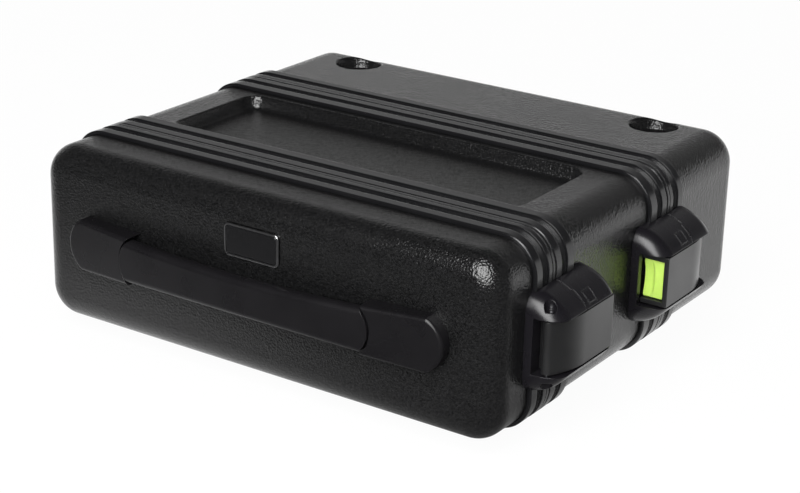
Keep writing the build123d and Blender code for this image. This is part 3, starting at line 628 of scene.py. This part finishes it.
def for_glossy_rays(nodes, links, path, plain, mirrored):
    """A plain number for every ray but those of a shiny thing, which get the mirrored one."""
    choice = nodes.new("ShaderNodeMix")
    links.new(path.outputs["Is Glossy Ray"], choice.inputs["Factor"])
    choice.inputs["A"].default_value = plain
    links.new(mirrored, choice.inputs["B"])
    return choice.outputs["Result"]


def white_card(name):
    """White card. The lens sees its own white, and shiny things see it dim towards the camera."""
    material, nodes, links, shader = finish_of(name, CARD_WHITE, CARD_ROUGHNESS)
    shader.inputs["Specular IOR Level"].default_value = 0.0
    place = nodes.new("ShaderNodeTexCoord").outputs["Object"]
    near_camera = distance_toward(nodes, links, place, CAMERA_SIDE)
    in_front = distance_toward(nodes, links, place, FRONT_SIDE)
    dim = combine(
        nodes, links, "MULTIPLY",
        fade(nodes, links, near_camera, CAMERA_SIDE_FADE, 1.0, CAMERA_SIDE_DIM),
        fade(nodes, links, in_front, FRONT_SIDE_FADE, 1.0, FRONT_SIDE_DIM),
    )
    path = nodes.new("ShaderNodeLightPath")
    white = nodes.new("ShaderNodeEmission")
    links.new(for_glossy_rays(nodes, links, path, 1.0, dim), white.inputs["Strength"])
    shown = combine(
        nodes, links, "MAXIMUM", path.outputs["Is Camera Ray"], path.outputs["Is Glossy Ray"]
    )
    shown = combine(nodes, links, "MAXIMUM", shown, path.outputs["Is Transmission Ray"])
    share = combine(nodes, links, "MULTIPLY", shown, CARD_GLOW)
    mix = nodes.new("ShaderNodeMixShader")
    links.new(share, mix.inputs["Fac"])
    links.new(shader.outputs["BSDF"], mix.inputs[1])
    links.new(white.outputs["Emission"], mix.inputs[2])
    links.new(mix.outputs["Shader"], nodes["Material Output"].inputs["Surface"])
    return material


def add_floor():
    """The white table, as a flat square at the height of the ground."""
    corners = [(-1, -1), (1, -1), (1, 1), (-1, 1)]
    points = [(FLOOR_HALF * x, FLOOR_HALF * y, 0.0) for x, y in corners]
    return add_mesh("floor", points, [(0, 1, 2, 3)], white_card("floor_card"))


def add_wall():
    """The white wall, as a ring that stands on the table."""
    points = []
    for i in range(WALL_SIDES):
        turn = 2 * math.pi * i / WALL_SIDES
        for height in (0.0, WALL_HEIGHT):
            points.append((WALL_RADIUS * math.cos(turn), WALL_RADIUS * math.sin(turn), height))
    faces = []
    for i in range(WALL_SIDES):
        j = (i + 1) % WALL_SIDES
        faces.append((2 * i, 2 * j, 2 * j + 1, 2 * i + 1))
    return add_mesh("backdrop", points, faces, white_card("wall_card"))


def add_softbox():
    """The lamp, aimed at the middle of the case."""
    lamp = bpy.data.lights.new("key_softbox", "AREA")
    lamp.shape = "RECTANGLE"
    lamp.size = LAMP_WIDTH
    lamp.size_y = LAMP_HEIGHT
    lamp.energy = LAMP_POWER
    holder = bpy.data.objects.new("key_softbox", lamp)
    away = direction(LAMP_AZIMUTH, LAMP_ELEVATION)
    centre = (cad_box[0] + cad_box[1]) / 2
    holder.location = centre + away * LAMP_DISTANCE
    holder.rotation_mode = "QUATERNION"
    holder.rotation_quaternion = away.to_track_quat("Z", "Y")
    bpy.context.scene.collection.objects.link(holder)


def light_room():
    """Soft light from all round. Shiny things see a dark room with a pale band behind the case."""
    world = bpy.data.worlds.new("studio_room")
    world.use_nodes = True
    nodes = world.node_tree.nodes
    links = world.node_tree.links
    place = nodes.new("ShaderNodeTexCoord").outputs["Generated"]
    split = nodes.new("ShaderNodeSeparateXYZ")
    links.new(place, split.inputs["Vector"])
    toward_camera = distance_toward(nodes, links, place, CAMERA_SIDE)
    band = combine(
        nodes, links, "MULTIPLY",
        fade(nodes, links, split.outputs["Z"], ROOM_BAND_FADE, ROOM_BAND, ROOM_TOP),
        fade(nodes, links, toward_camera, ROOM_BACK_FADE, 1.0, ROOM_FRONT_SHARE),
    )
    path = nodes.new("ShaderNodeLightPath")
    room = for_glossy_rays(nodes, links, path, ROOM_LIGHT, band)
    seen = combine(nodes, links, "MAXIMUM", path.outputs["Is Camera Ray"], room)
    links.new(seen, nodes["Background"].inputs["Strength"])
    nodes["Background"].inputs["Color"].default_value = (*ROOM_WHITE, 1.0)
    bpy.context.scene.world = world


add_floor()
add_wall()
add_softbox()
light_room()


# ---- Camera ----
# A long lens looks at the case from in front, to its right and a little above. The camera is rolled
# by a little more than a degree.

CAMERA_PLACE = (0.7992, -1.1813, 0.6081)
CAMERA_AZIMUTH = 33.69
CAMERA_ELEVATION = 20.96
CAMERA_ROLL = 1.40
CAMERA_LENS = 89.16
CAMERA_SENSOR = 36.0


def add_camera():
    """The camera, turned round its own axis by the roll."""
    turn = math.radians(CAMERA_AZIMUTH)
    back = direction(CAMERA_AZIMUTH, CAMERA_ELEVATION)
    right = Vector((math.cos(turn), math.sin(turn), 0.0))
    up = back.cross(right)
    roll = math.radians(CAMERA_ROLL)
    rolled_right = math.cos(roll) * right + math.sin(roll) * up
    rolled_up = back.cross(rolled_right)
    lens = bpy.data.cameras.new("camera")
    lens.lens = CAMERA_LENS
    lens.sensor_width = CAMERA_SENSOR
    camera = bpy.data.objects.new("camera", lens)
    facing = Matrix((rolled_right, rolled_up, back)).transposed().to_4x4()
    camera.matrix_world = Matrix.Translation(CAMERA_PLACE) @ facing
    bpy.context.scene.collection.objects.link(camera)
    bpy.context.scene.camera = camera


add_camera()
bpy.context.scene.view_settings.view_transform = "Standard"
